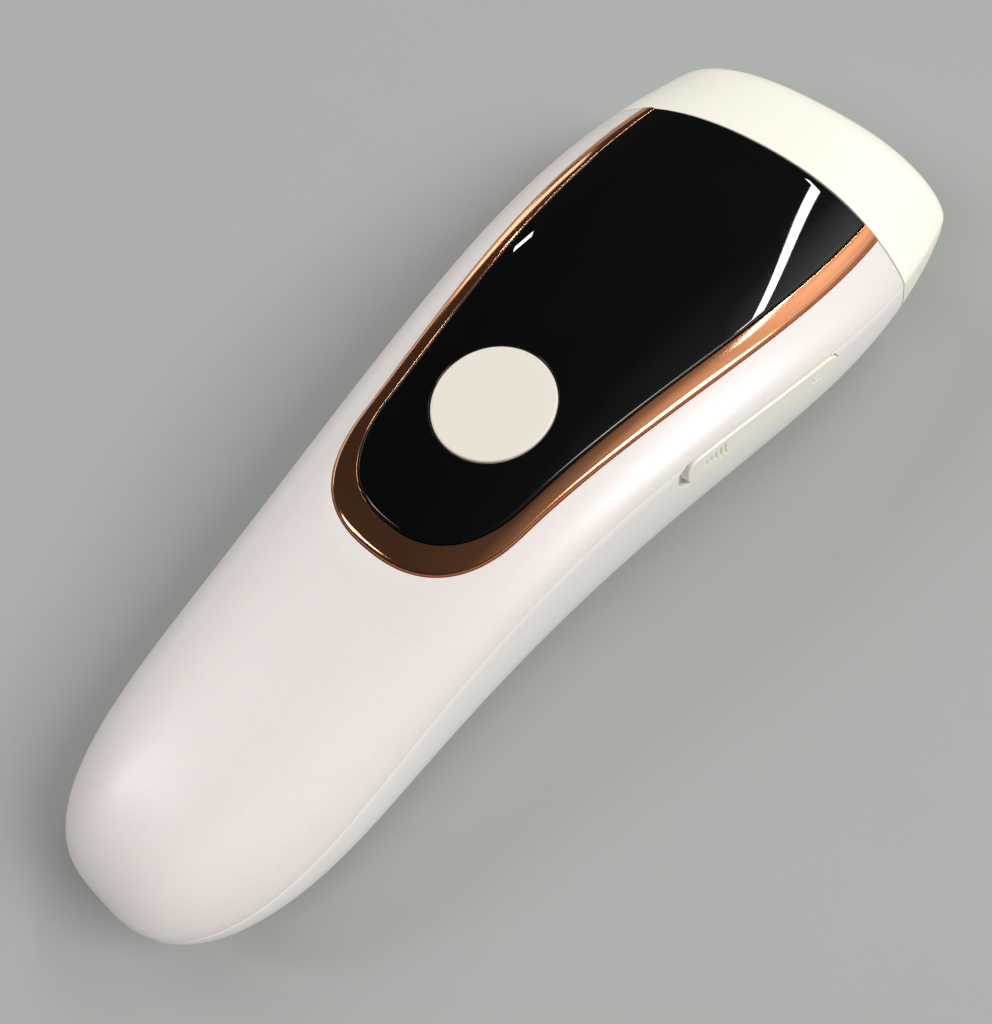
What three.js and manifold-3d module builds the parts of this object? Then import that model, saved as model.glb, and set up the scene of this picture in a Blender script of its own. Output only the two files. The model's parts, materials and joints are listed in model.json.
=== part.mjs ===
// IPL hair remover: an arched hand-held handle with a glossy control panel on top,
// a pull-off lamp head at the front and the flash electronics inside.
// Millimetres, +Z up, +Y towards the lamp head, +X to the side of the lock slide.
// Lengths along Y are counted from the rear end of the handle; the outer group then
// moves the model so that its origin is at the middle of its footprint.
import * as THREE from 'three';
import { mergeVertices } from 'three/addons/utils/BufferGeometryUtils.js';
import Module from 'manifold-3d';

const wasm = await Module();
wasm.setup();

// ---------------------------------------------------------------- driving dimensions
const bodyLength = 186.7;
const halfWidths = [22.7, 23.8, 24.3, 26.5, 30.7, 33.3, 27.0];    // seven even stations, rear to front
const seamHeights = [17.3, 20.6, 27.7, 32.3, 31.6, 27.0, 23.3];   // same stations
const crownHeights = [14.8, 8.1, 7.0, 8.8, 9.4];                  // five even stations, above the seam
const rearEnd = { length: 48, power: 3.06 };     // plan rounding of the handle end
const frontEnd = { length: 7.6, power: 2.42 };   // plan rounding of the nose
const crown = { inner: 3.0, outer: 1.43 };       // powers of the upper cross section
const bellyPower = 2.86;                         // power of the lower cross section
const bellyDepth = 0.8;                          // how far the belly would reach below the rest plane
const noseLift = { start: 142.4, rise: 11.7 };   // the underside curves up towards the nose
const tailLift = { start: 40.6, rise: 5.3 };     // and towards the handle end
const wall = 2.2;
const gap = 0.3;                                 // clearance between touching pieces
const halfGap = gap / 2;

const headSeam = { side: 161.2, bulge: 6.1, lean: -0.17, width: 33.3, height: 38 };
const trim = { rear: 67.3, round: 17.4, power: 2.39, halfWidths: [17.4, 20.0, 24.9, 26.3] };
const panel = { rear: 72.2, round: 16.4, power: 2.34, halfWidths: [15.0, 17.5, 21.8, 23.3] };
const trimRoll = { share: 0.2, foot: 0.05, shoulder: 0.42, top: 0.48 };   // heights above the cover
const panelRise = 0.8;                           // panel stands proud of the cover
const panelThickness = 2.0;
const seatDepth = 2.5;                           // depth of the recess that holds panel and trim
const seatWidth = 1.6;                           // ledge under the panel edge
const seatThickness = 1.8;

const button = { y: 97.8, radius: 10.55 };
const slide = { rear: 110.6, front: 144.6, height: 6.6, below: 0.25, proud: 0.4, rearGap: 1.5, travel: 1.2 };
const grips = { start: 3.9, pitch: 1.03, count: 5, width: 0.4, depth: 0.4, height: 3.2 };
const mouth = { width: 36, height: 12.5, z: 20.5, rim: 2.4, radius: 4.5, recess: 0.7, depth: 3.3, rebate: 2.0 };
const spigot = { width: 40, height: 14, rear: 153, front: 173, wall: 1.8, z: 18.5 };
const bulkhead = { rear: 156.4, thickness: 2.4, top: 27.2 };
const jack = { z: 12.2, bore: 2.7, radius: 3.6, rear: 6, length: 11, pin: 0.65 };
const grille = { y: 122, length: 34, width: 17, radius: 4, flange: 2, low: 0.6, slotWidth: 1.6, slotPitch: 3.4, slotCount: 9 };
const fan = { y: 122, size: 30, height: 8, z: 4.4, bore: 13.7, hub: 6, blades: 7 };
const screw = { head: 2.8, headHeight: 1.8, headTop: 6.3, shank: 1.1, length: 14, boss: 3.2, postFoot: 12.3 };
const screwSpots = { rear_left: [-14, 30], rear_right: [14, 30], front_left: [-20, 145], front_right: [20, 145] };
const capacitor = { radius: 9, rear: 19.5, length: 36, z: 15 };
const powerBoard = { width: 30, rear: 58, length: 45, z: 6.5, thickness: 1.6 };
const controlBoard = { width: 32, rear: 78, length: 66, z: 27.4, thickness: 1.6 };
const lamp = { radius: 1.7, length: 26, y: 178.6, capLength: 2.8 };
const overallLength = bodyLength - mouth.recess;

// ---------------------------------------------------------------- materials
const finish = (color, roughness, metalness = 0) => new THREE.MeshStandardMaterial({ color, roughness, metalness });
const pearlWhite = finish('#e4e0dc', 0.38);
const shellWhite = finish('#e2e2de', 0.45);
const cream = finish('#e6e3d6', 0.42);
const roseGold = finish('#c98d6f', 0.16, 1);
const pianoBlack = finish('#08080a', 0.06);
const boardGreen = finish('#1f5c3a', 0.55);
const blackPlastic = finish('#1c1c1e', 0.5);
const steel = finish('#b9bcc0', 0.3, 1);
const brass = finish('#c8a45a', 0.3, 1);
const copperWire = finish('#b5673a', 0.4, 1);
const ferrite = finish('#3a3a3d', 0.7);
const quartz = finish('#dfe8ee', 0.05);
const amberGlass = finish('#c9782e', 0.08);
const mirror = finish('#dddfe2', 0.08, 1);
const sleeveBlue = finish('#22304f', 0.4);

// ---------------------------------------------------------------- solids
const clamp01 = (v) => Math.min(1, Math.max(0, v));

// A geometry's shared corners merged, as a solid.
function solid(geometry) {
  const bare = geometry.clone();
  bare.deleteAttribute('normal');
  bare.deleteAttribute('uv');
  const merged = mergeVertices(bare, 1e-4);
  const index = merged.index.array;
  const kept = [];
  for (let i = 0; i < index.length; i += 3) {
    const [a, b, c] = [index[i], index[i + 1], index[i + 2]];
    if (a !== b && b !== c && c !== a) kept.push(a, b, c);
  }
  return new wasm.Manifold(new wasm.Mesh({
    numProp: 3,
    vertProperties: new Float32Array(merged.attributes.position.array),
    triVerts: new Uint32Array(kept),
  }));
}

function geometryOf(body) {
  const mesh = body.getMesh();
  const geometry = new THREE.BufferGeometry();
  geometry.setAttribute('position', new THREE.BufferAttribute(new Float32Array(mesh.vertProperties), 3));
  geometry.setIndex(new THREE.BufferAttribute(new Uint32Array(mesh.triVerts), 1));
  return geometry;
}

// Skin over a row of closed rings with equal point counts, closed at both ends.
// Each ring runs there and back, so the end faces are zipped between its two halves.
function loft(rings) {
  const count = rings[0].length;
  const positions = [];
  for (const ring of rings) for (const point of ring) positions.push(...point);
  const index = [];
  for (let i = 0; i + 1 < rings.length; i++) {
    for (let j = 0; j < count; j++) {
      const k = (j + 1) % count;
      const [a, b, c, d] = [i * count + j, i * count + k, (i + 1) * count + k, (i + 1) * count + j];
      index.push(a, b, c, a, c, d);
    }
  }
  const last = (rings.length - 1) * count;
  for (let j = 0; j + 1 < count / 2; j++) {
    const [a, b, c, d] = [j, j + 1, count - 2 - j, count - 1 - j];
    index.push(a, c, b, a, d, c);
    index.push(last + a, last + b, last + c, last + a, last + c, last + d);
  }
  const geometry = new THREE.BufferGeometry();
  geometry.setAttribute('position', new THREE.Float32BufferAttribute(positions, 3));
  geometry.setIndex(index);
  const body = solid(geometry);
  if (body.volume() >= 0) return body;
  for (let i = 0; i < index.length; i += 3) [index[i + 1], index[i + 2]] = [index[i + 2], index[i + 1]];
  geometry.setIndex(index);
  return solid(geometry);
}

const box = (width, depth, height, x = 0, y = 0, z = 0) =>
  solid(new THREE.BoxGeometry(width, depth, height).translate(x, y, z));

// A round bar along an axis, centred on a point.
function bar(radius, length, [x, y, z], axis = 'z', sides = 24) {
  const geometry = new THREE.CylinderGeometry(radius, radius, length, sides);
  if (axis === 'z') geometry.rotateX(Math.PI / 2);
  if (axis === 'x') geometry.rotateZ(Math.PI / 2);
  return solid(geometry.translate(x, y, z));
}

// A rounded rectangle extruded by a thickness along +Z.
function roundedBlock(width, height, radius, thickness, segments = 4) {
  const shape = new THREE.Shape();
  const [a, b] = [width / 2 - radius, height / 2 - radius];
  shape.absarc(a, b, radius, 0, Math.PI / 2);
  shape.absarc(-a, b, radius, Math.PI / 2, Math.PI);
  shape.absarc(-a, -b, radius, Math.PI, Math.PI * 1.5);
  shape.absarc(a, -b, radius, Math.PI * 1.5, Math.PI * 2);
  return new THREE.ExtrudeGeometry(shape, { depth: thickness, bevelEnabled: false, curveSegments: segments });
}

// The same, facing along Y between two stations and centred at a height.
const roundedPlate = (width, height, radius, yFrom, yTo, z) =>
  solid(roundedBlock(width, height, radius, yTo - yFrom).rotateX(Math.PI / 2).translate(0, yTo, z));

// ---------------------------------------------------------------- body surface
// The one smooth curve through evenly spaced stations, at fraction t of the length.
function through(stations, t) {
  const last = stations.length - 1;
  let sum = 0;
  stations.forEach((value, i) => {
    let weight = 1;
    for (let j = 0; j <= last; j++) if (j !== i) weight *= (t * last - j) / (i - j);
    sum += value * weight;
  });
  return sum;
}

const seamAt = (y) => through(seamHeights, y / bodyLength);
const crownAt = (y) => through(crownHeights, y / bodyLength);
const halfWidthAt = (y, inset) => through(halfWidths, y / bodyLength) - inset;

function floorAt(y) {
  const nose = Math.max(0, (y - noseLift.start) / (bodyLength - noseLift.start));
  const tail = Math.max(0, (tailLift.start - y) / tailLift.start);
  return noseLift.rise * nose ** 2 + tailLift.rise * tail ** 2 - bellyDepth;
}

// How far a point is from the spine towards the plan outline: 0 on the spine, 1 on it.
function planRadius(x, y, inset) {
  const rear = clamp01((rearEnd.length - y) / (rearEnd.length - inset));
  const front = clamp01((y - (bodyLength - frontEnd.length)) / (frontEnd.length - inset));
  const power = front > 0 ? frontEnd.power : rearEnd.power;
  const across = Math.abs(x) / halfWidthAt(y, inset);
  return clamp01((across ** power + rear ** power + front ** power) ** (1 / power));
}

function outlineAt(y, inset) {
  const rear = clamp01((rearEnd.length - y) / (rearEnd.length - inset));
  const front = clamp01((y - (bodyLength - frontEnd.length)) / (frontEnd.length - inset));
  const power = front > 0 ? frontEnd.power : rearEnd.power;
  return halfWidthAt(y, inset) * Math.max(0, 1 - rear ** power - front ** power) ** (1 / power);
}

function topAt(x, y, inset = 0) {
  const r = planRadius(x, y, inset);
  return seamAt(y) + (crownAt(y) - inset) * (1 - r ** crown.inner) ** (1 / crown.outer);
}

function bottomAt(x, y, inset = 0) {
  const r = planRadius(x, y, inset);
  return seamAt(y) - (seamAt(y) - floorAt(y) - inset) * (1 - r ** bellyPower) ** (1 / bellyPower);
}

// Stations along the body, close together where the ends round off.
function bodyRows(inset, endSteps, midSteps) {
  const rows = [];
  const reach = rearEnd.length - inset;
  for (let i = 0; i < endSteps; i++) {
    rows.push(rearEnd.length - reach * Math.cos((Math.PI / 2) * (i / endSteps)) ** (2 / rearEnd.power));
  }
  const noseStart = bodyLength - frontEnd.length;
  for (let i = 0; i < midSteps; i++) rows.push(rearEnd.length + (noseStart - rearEnd.length) * (i / midSteps));
  const noseReach = frontEnd.length - inset;
  for (let i = 0; i <= endSteps - 3; i++) {
    rows.push(noseStart + noseReach * Math.sin((Math.PI / 2) * (i / (endSteps - 3))) ** (2 / frontEnd.power));
  }
  return rows;
}

// Fractions of the half width from one side to the other, closer together near the sides.
function columns(count, power = 0.8) {
  return Array.from({ length: count + 1 }, (_, j) => {
    const c = Math.cos((Math.PI * j) / count);
    return Math.sign(c) * Math.abs(c) ** power;
  });
}

// The solid between two heights over the plan |x| <= half(y).
function slab(rows, half, high, low, columnCount, power) {
  const across = columns(columnCount, power);
  return loft(rows.map((y) => {
    const w = half(y);
    const there = across.map((c) => [c * w, y, high(c * w, y)]);
    const back = across.map((c) => [c * w, y, low(c * w, y)]).reverse();
    return [...there, ...back];
  }));
}

const outerRows = bodyRows(0, 8, 11);
const innerRows = bodyRows(wall, 6, 8);
const innerBody = slab(innerRows, (y) => outlineAt(y, wall), (x, y) => topAt(x, y, wall),
  (x, y) => bottomAt(x, y, wall), 10);
const upperBody = slab(outerRows, (y) => outlineAt(y, 0), (x, y) => topAt(x, y) + halfGap,
  (x, y) => seamAt(y) + halfGap, 14);
const lowerBody = slab(outerRows, (y) => outlineAt(y, 0), (x, y) => seamAt(y) - halfGap,
  (x, y) => bottomAt(x, y) - halfGap, 14);
const wholeBody = slab(outerRows, (y) => outlineAt(y, 0), (x, y) => topAt(x, y) + halfGap,
  (x, y) => bottomAt(x, y) - halfGap, 14);
const aboveRest = box(100, 300, 80, 0, 100, 40);

// Everything in front of the head seam, pushed forward by a distance.
function frontOf(forward) {
  const [low, high, far, sideX] = [-10, 70, 230, 45];
  const seamY = (x, z) => headSeam.side + headSeam.bulge * (1 - (x / headSeam.width) ** 2)
    + headSeam.lean * (z - headSeam.height) + forward;
  const rings = [];
  for (let i = 0; i <= 24; i++) {
    const x = -sideX + (2 * sideX * i) / 24;
    rings.push([[x, seamY(x, low), low], [x, seamY(x, high), high], [x, far, high], [x, far, low]]);
  }
  return loft(rings);
}

// ---------------------------------------------------------------- panel outlines
const recessFront = 175;   // the outlines run on past the head seam and are cut there

function outlineHalf(outline, y, grow = 0) {
  const rear = outline.rear - grow;
  const t = (y - outline.rear) / (headSeam.side - outline.rear);
  const full = through(outline.halfWidths, Math.min(Math.max(t, 0), 1.12)) + grow;
  const end = clamp01((outline.round + outline.rear - y) / (outline.round + grow));
  return y <= rear ? 0 : full * (1 - end ** outline.power) ** (1 / outline.power);
}

function outlineRows(outline, grow, endSteps = 7, midSteps = 7) {
  const rows = [];
  const reach = outline.round + grow;
  const join = outline.rear + outline.round;
  for (let i = 0; i < endSteps; i++) {
    rows.push(join - reach * Math.cos((Math.PI / 2) * (i / endSteps)) ** (2 / outline.power));
  }
  for (let i = 0; i <= midSteps; i++) rows.push(join + ((recessFront - join) * i) / midSteps);
  return rows;
}

// A slab that follows the cover surface inside an outline, between two depths below it.
function coverSlab(outline, grow, high, low, columnCount = 8) {
  return slab(outlineRows(outline, grow), (y) => outlineHalf(outline, y, grow),
    (x, y) => topAt(x, Math.min(y, 172)) + high, (x, y) => topAt(x, Math.min(y, 172)) + low, columnCount, 0.9);
}

// ---------------------------------------------------------------- lock slide
// The slide's side outline, from end to end: its middle line runs parallel to the seam.
// The slot is the same outline grown all round and longer at the rear.
function slideProfile(grow, longer) {
  const rear = slide.rear - grow - longer;
  const front = slide.front + grow;
  const half = slide.height / 2 + grow;
  const steps = 8;
  const upper = [];
  for (let i = 0; i <= 2 * steps; i++) {
    const turn = (Math.PI * i) / (2 * steps);
    const y = (rear + front) / 2 - ((front - rear) / 2) * Math.sign(Math.cos(turn)) * Math.abs(Math.cos(turn)) ** 0.3;
    const end = clamp01(1 - Math.min(y - rear, front - y) / half);
    upper.push([y, half * (1 - end ** 2.6) ** (1 / 2.6)]);
  }
  return upper;
}

const slideMiddle = (y) => seamAt(y) - slide.below - slide.height / 2;

// The side outline carried across in X, from the middle of the handle outwards.
function slidePrism(grow, longer = 0) {
  return loft(slideProfile(grow, longer).map(([y, h]) => {
    const z = slideMiddle(y);
    return [[20, y, z - h], [20, y, z + h], [40, y, z + h], [40, y, z - h]];
  }));
}

const bodyShape = (inset, columnCount = 12) => slab(bodyRows(inset, 7, 12), (y) => outlineAt(y, inset),
  (x, y) => topAt(x, y, inset), (x, y) => bottomAt(x, y, inset), columnCount);

const slideSkin = bodyShape(-slide.proud, 16);
const slideBack = bodyShape(1.2);
const slidePocketFloor = bodyShape(1.5);
const slideNeck = { y: 128, length: 9, height: 3, depth: 4.2, sunk: 0.4 };
const neckAt = (y, depth, length, height) => {
  const x = halfWidthAt(y, 0);
  return box(depth, length, height, x - 1.4 - depth / 2 + 1, y, slideMiddle(y));
};

function slideSlot() {
  const pocket = slidePrism(gap, slide.rearGap).subtract(slidePocketFloor);
  const slot = neckAt(slideNeck.y - slide.travel / 2, 5, slideNeck.length + slide.travel + 2 * gap,
    slideNeck.height + 2 * gap);
  return pocket.add(slot);
}

function lampLockSlide() {
  const tab = slidePrism(0).intersect(slideSkin).subtract(slideBack);
  const wallX = halfWidthAt(slideNeck.y, wall);
  const neck = box(slideNeck.depth, slideNeck.length, slideNeck.height, wallX - slideNeck.sunk, slideNeck.y,
    slideMiddle(slideNeck.y));
  const flange = box(4.4, 14, 5, wallX - 3.8, slideNeck.y, slideMiddle(slideNeck.y));
  let gripped = tab;
  for (let i = 0; i < grips.count; i++) {
    const y = slide.rear + grips.start + i * grips.pitch;
    const x = halfWidthAt(y, 0) + slide.proud - grips.depth + 1;
    gripped = gripped.subtract(box(2, grips.width, grips.height, x, y, slideMiddle(y) + 0.5));
  }
  return gripped.add(neck).add(flange);
}

// ---------------------------------------------------------------- outer pieces
const headSide = frontOf(-halfGap);
const upperOrInner = wholeBody.intersect(slab(outerRows, (y) => outlineAt(y, 0), (x, y) => topAt(x, y) - wall / 2,
  (x, y) => bottomAt(x, y) + wall / 2, 12));

function topCover() {
  const seat = coverSlab(trim, 1.2, 0.4 - seatDepth, -seatDepth - seatThickness)
    .subtract(coverSlab(panel, -seatWidth, 5, -12));
  let cover = upperBody.subtract(innerBody).add(seat.intersect(upperBody));
  for (const [x, y] of Object.values(screwSpots)) {
    const post = bar(screw.boss - 0.4, 40, [x, y, screw.postFoot + 20], 'z', 14).intersect(upperOrInner);
    cover = cover.add(post).subtract(bar(screw.shank + gap, 12, [x, y, screw.postFoot + 5], 'z', 12));
  }
  return cover.subtract(coverSlab(trim, halfGap, 8, -seatDepth)).subtract(headSide);
}

function bottomShell() {
  let shell = lowerBody.subtract(innerBody);
  for (const [x, y] of Object.values(screwSpots)) {
    const top = screw.postFoot - gap;
    shell = shell.add(bar(screw.boss + 0.6, top - 0.5, [x, y, (top + 0.5) / 2], 'z', 14).intersect(lowerBody));
  }
  for (const [x, y] of Object.values(screwSpots)) {
    shell = shell.subtract(bar(screw.head + gap, 10, [x, y, screw.headTop + gap - 5], 'z', 16))
      .subtract(bar(screw.shank + gap, 30, [x, y, 15], 'z', 12));
  }
  for (const [x, y] of [[-11, 64], [11, 64], [-11, 97], [11, 97]]) {
    shell = shell.add(bar(2, powerBoard.z - gap - 0.8, [x, y, (powerBoard.z - gap + 0.8) / 2], 'z', 10));
  }
  for (const [x, y] of [[-12.8, -12.8], [12.8, -12.8], [-12.8, 12.8], [12.8, 12.8]]) {
    shell = shell.add(bar(1.6, fan.z - gap - 0.8, [x, fan.y + y, (fan.z - gap + 0.8) / 2], 'z', 10));
  }
  const springStop = box(6, 1.4, 4, halfWidthAt(slideNeck.y, wall) - 3.6, 111.2, slideMiddle(slideNeck.y));
  shell = shell.add(springStop);
  const jackHole = bar(jack.radius + gap, 24, [0, 4, jack.z], 'y', 20);
  return shell.intersect(aboveRest).subtract(jackHole).subtract(grilleBlank(gap)).subtract(slideSlot())
    .subtract(headSide);
}

function lampHeadShell() {
  const inFront = frontOf(halfGap);
  const room = innerBody.intersect(frontOf(halfGap + wall));
  const tube = roundedPlate(spigot.width, spigot.height, 2, spigot.rear, spigot.front, spigot.z);
  const bore = roundedPlate(spigot.width - 2 * spigot.wall, spigot.height - 2 * spigot.wall, 1,
    spigot.rear - 1, spigot.front + 6, spigot.z);
  const opening = roundedPlate(mouth.width + 2 * gap, mouth.height + 2 * gap, mouth.radius, 178, 190, mouth.z);
  return wholeBody.intersect(inFront).subtract(room).add(tube).subtract(bore).subtract(opening)
    .intersect(aboveRest);
}

// The trim's outer edge rolls up from the cover to a nearly flat top beside the raised panel.
// Both ends stop at the head seam.
function trimBezel() {
  const steps = 12;
  const straight = 9;
  const right = [];
  for (let i = 0; i <= steps + straight; i++) {
    const turn = Math.min(1, i / steps) * (Math.PI / 2);
    const along = Math.max(0, i - steps) / straight;
    const point = (outline, grow) => {
      const join = outline.rear + outline.round;
      const y = join - (outline.round + grow) * Math.cos(turn) ** (2 / outline.power) + (recessFront - join) * along;
      return [outlineHalf(outline, y, grow), y];
    };
    const [xo, yo] = point(trim, -halfGap);
    const [xi, yi] = point(panel, halfGap);
    right.push([xo, yo, xi, yi]);
  }
  const left = right.slice(1).reverse().map(([xo, yo, xi, yi]) => [-xo, yo, -xi, yi]);
  const surface = (x, y) => topAt(x, Math.min(y, 172));
  const rings = [...left, ...right].map(([xo, yo, xi, yi]) => {
    const [xm, ym] = [xo + (xi - xo) * trimRoll.share, yo + (yi - yo) * trimRoll.share];
    return [
      [xo, yo, surface(xo, yo) + trimRoll.foot],
      [xm, ym, surface(xm, ym) + trimRoll.shoulder],
      [xi, yi, surface(xi, yi) + trimRoll.top],
      [xi, yi, surface(xi, yi) + gap - seatDepth],
      [xm, ym, surface(xm, ym) + gap - seatDepth],
      [xo, yo, surface(xo, yo) + gap - seatDepth],
    ];
  });
  return loft(rings).subtract(headSide);
}

const buttonSlope = Math.atan((topAt(0, button.y + 1) - topAt(0, button.y - 1)) / 2);
const buttonTop = topAt(0, button.y) + panelRise;

function displayPanel() {
  const plate = coverSlab(panel, -halfGap, panelRise, panelRise - panelThickness, 10);
  const hole = solid(new THREE.CylinderGeometry(button.radius + gap, button.radius + gap, 20, 32)
    .rotateX(Math.PI / 2 + buttonSlope).translate(0, button.y, buttonTop));
  return plate.subtract(hole).subtract(headSide);
}

// Button, in its own frame: origin on its top face, pressed along its own Z.
function flashButton() {
  const cap = [[0, 0.1], [button.radius * 0.8, 0.05], [button.radius - 0.4, -0.05], [button.radius, -0.4],
    [button.radius, -3], [button.radius + 1.5, -3.1],
    [button.radius + 1.5, -4.2], [3, -4.2], [3, -5.9], [0, -5.9]];
  const profile = cap.map(([r, z]) => new THREE.Vector2(r, z)).reverse();
  return solid(new THREE.LatheGeometry(profile, 26).rotateX(Math.PI / 2));
}

// ---------------------------------------------------------------- cooling
function grilleBlank(grow) {
  const { length, width, radius, y, low } = grille;
  const [foot, height] = grow > 0 ? [-2, 8] : [low, 2.4];
  return solid(roundedBlock(width + 2 * grow, length + 2 * grow, radius + grow, height).translate(0, y, foot));
}

function intakeGrille() {
  const { width, length, radius, flange, low, slotWidth } = grille;
  const rim = roundedBlock(width + 2 * flange, length + 2 * flange, radius + flange, 1.2);
  let plate = grilleBlank(0).add(solid(rim.translate(0, grille.y, low + 2.1)));
  for (let i = 0; i < grille.slotCount; i++) {
    const y = grille.y + (i - (grille.slotCount - 1) / 2) * grille.slotPitch;
    plate = plate.subtract(solid(roundedBlock(width - 3, slotWidth, slotWidth * 0.45, 12, 1).translate(0, y, -4)));
  }
  return plate;
}

function fanFrame() {
  let frame = box(fan.size, fan.size, fan.height, 0, fan.y, fan.z + fan.height / 2)
    .subtract(bar(fan.bore, fan.height + 2, [0, fan.y, fan.z + fan.height / 2], 'z', 28));
  for (let i = 0; i < 3; i++) {
    const spoke = new THREE.BoxGeometry(fan.bore + 0.5, 2, 1.4).translate((fan.bore + 0.5) / 2, 0, fan.z + 0.7)
      .rotateZ(((i + 0.5) * Math.PI * 2) / 3).translate(0, fan.y, 0);
    frame = frame.add(solid(spoke));
  }
  return frame.add(bar(fan.hub, 1.8, [0, fan.y, fan.z + 0.9], 'z', 20))
    .subtract(bar(1.3, 6, [0, fan.y, fan.z + 1], 'z', 12));
}

// Rotor, in its own frame: origin at the foot of its shaft on the spin axis.
function fanRotor() {
  let rotor = bar(fan.hub, 5, [0, 0, 4.9], 'z', 20).add(bar(1, 3, [0, 0, 1.3], 'z', 12));
  for (let i = 0; i < fan.blades; i++) {
    const blade = new THREE.BoxGeometry(fan.bore - fan.hub - 0.3, 5.4, 0.8)
      .rotateX(0.7).translate((fan.bore + fan.hub - 1.3) / 2, 0, 4.9).rotateZ((i * Math.PI * 2) / fan.blades);
    rotor = rotor.add(solid(blade));
  }
  return rotor;
}

// ---------------------------------------------------------------- lamp head insides
function headBulkhead() {
  const { rear, thickness, top } = bulkhead;
  const plate = bodyShape(wall + 1).intersect(box(90, thickness, top - 1, 0, rear + thickness / 2, (top + 1) / 2));
  const passage = roundedPlate(spigot.width + 2 * gap, spigot.height + 2 * gap, 2, rear - 2, rear + 8, spigot.z);
  return plate.subtract(passage);
}

const frameFront = overallLength;
const sensorX = mouth.width / 2 - 1.3;

function windowFrame() {
  const front = frameFront;
  const rear = front - mouth.depth;
  let frame = roundedPlate(mouth.width, mouth.height, mouth.radius, rear, front, mouth.z)
    .subtract(roundedPlate(mouth.width - 2 * mouth.rim, mouth.height - 2 * mouth.rim, 1.6, rear - 1, front + 1, mouth.z))
    .subtract(roundedPlate(mouth.width - 3, mouth.height - 3, 2, rear - 1, rear + mouth.rebate, mouth.z));
  for (const side of [-1, 1]) frame = frame.subtract(bar(1.0, 2.4, [side * sensorX, front, mouth.z], 'y', 12));
  return frame;
}

const filterGlass = () => roundedPlate(mouth.width - 3.6, mouth.height - 3.6, 1.8, frameFront - mouth.depth,
  frameFront - mouth.depth + mouth.rebate - gap, mouth.z);
const skinSensor = (side) => bar(0.7, 0.8, [side * sensorX, frameFront - 0.4, mouth.z], 'y', 12);

function lampHolder() {
  const [rear, front] = [173.6, 181.4];
  return box(36, front - rear, 12, 0, (rear + front) / 2, mouth.z)
    .subtract(box(34.6, 12, 10.8, 0, rear + 7.2, mouth.z))
    .subtract(box(30, 4, 2.4, 0, rear, mouth.z - 2));
}

// Parabolic trough, open to the front, carried along X.
function reflector() {
  const [vertex, reach, halfMouth, thickness] = [175.1, 7.2, 4.9, 0.6];
  const curve = (s, inset) => [vertex + inset + (reach - inset) * s * s, (halfMouth - inset) * s];
  const shape = new THREE.Shape();
  const steps = 8;
  for (let i = -steps; i <= steps; i++) {
    const [y, z] = curve(i / steps, 0);
    if (i === -steps) shape.moveTo(y, z);
    else shape.lineTo(y, z);
  }
  for (let i = steps; i >= -steps; i--) shape.lineTo(...curve(i / steps, thickness));
  const length = 33.4;
  const geometry = new THREE.ExtrudeGeometry(shape, { depth: length, bevelEnabled: false });
  const turn = new THREE.Matrix4().makeBasis(new THREE.Vector3(0, 1, 0), new THREE.Vector3(0, 0, 1), new THREE.Vector3(1, 0, 0));
  return solid(geometry.applyMatrix4(turn).translate(-length / 2, 0, mouth.z));
}

const flashLamp = () => bar(lamp.radius, lamp.length, [0, lamp.y, mouth.z], 'x', 16);
const lampEndCap = (side) => bar(lamp.radius + 0.2, lamp.capLength,
  [side * (lamp.length / 2 + gap + lamp.capLength / 2), lamp.y, mouth.z], 'x', 14);
const terminalBlock = () => box(30, 7, 9, 0, 159, spigot.z);
const contactX = 9;
const contactPin = (side) => bar(1, 7, [side * contactX, 155.2 - 3.5, spigot.z], 'y', 12);

function lampSocket() {
  let socket = box(26, 6.4, 20.2, 0, 149, 13.8);
  for (const side of [-1, 1]) socket = socket.subtract(bar(1.3, 10, [side * contactX, 149, spigot.z], 'y', 12));
  return socket;
}

// ---------------------------------------------------------------- electronics
function dcJack() {
  const { rear, length, radius, bore, pin, z } = jack;
  return bar(radius, length, [0, rear + length / 2, z], 'y', 20)
    .subtract(bar(bore, 8, [0, rear + 3.4, z], 'y', 16))
    .add(bar(pin, 7, [0, rear + 5.2, z], 'y', 8));
}

const board = ({ width, rear, length, z, thickness }) => box(width, length, thickness, 0, rear + length / 2, z + thickness / 2);

function flashCapacitor() {
  const { radius, rear, length, z } = capacitor;
  return bar(radius, length, [0, rear + length / 2, z], 'y', 24)
    .subtract(bar(radius + 1, 1.4, [0, rear + length - 4, z], 'y', 24).subtract(bar(radius - 0.6, 2, [0, rear + length - 4, z], 'y', 24)));
}

const boardTop = powerBoard.z + powerBoard.thickness;
const onPowerBoard = (height) => boardTop + gap + height / 2;

const transformerSpot = { x: 0, y: 72, width: 19, depth: 13, height: 15, leg: 6, window: 4.5, windowHeight: 9.4 };

function transformerCore() {
  const { x, y, width, depth, height, leg, window, windowHeight } = transformerSpot;
  const z = onPowerBoard(height);
  let core = box(width, depth, height, x, y, z);
  for (const side of [-1, 1]) {
    core = core.subtract(box(window, depth + 2, windowHeight, x + side * (leg + window) / 2, y, z));
  }
  return core;
}

function transformerWinding() {
  const { x, y, depth, height, leg, window, windowHeight } = transformerSpot;
  const z = onPowerBoard(height);
  return box(leg + 2 * (window - gap), depth + 6, windowHeight - 2 * gap, x, y, z)
    .subtract(box(leg + 2 * gap, depth + 2 * gap, height, x, y, z));
}

const triggerCoil = () => bar(4, 11, [8, 90, boardTop + gap + 5.5], 'z', 18);

const controlTop = controlBoard.z + controlBoard.thickness;

function tactSwitch() {
  const z = controlTop + gap;
  return box(6, 6, 3.2, 0, button.y, z + 1.6).add(bar(1.7, 1.2, [0, button.y, z + 3.5], 'z', 14));
}

const ledDisplay = () => box(20, 12, 3.4, 0, 124, controlTop + gap + 1.7);

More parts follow.
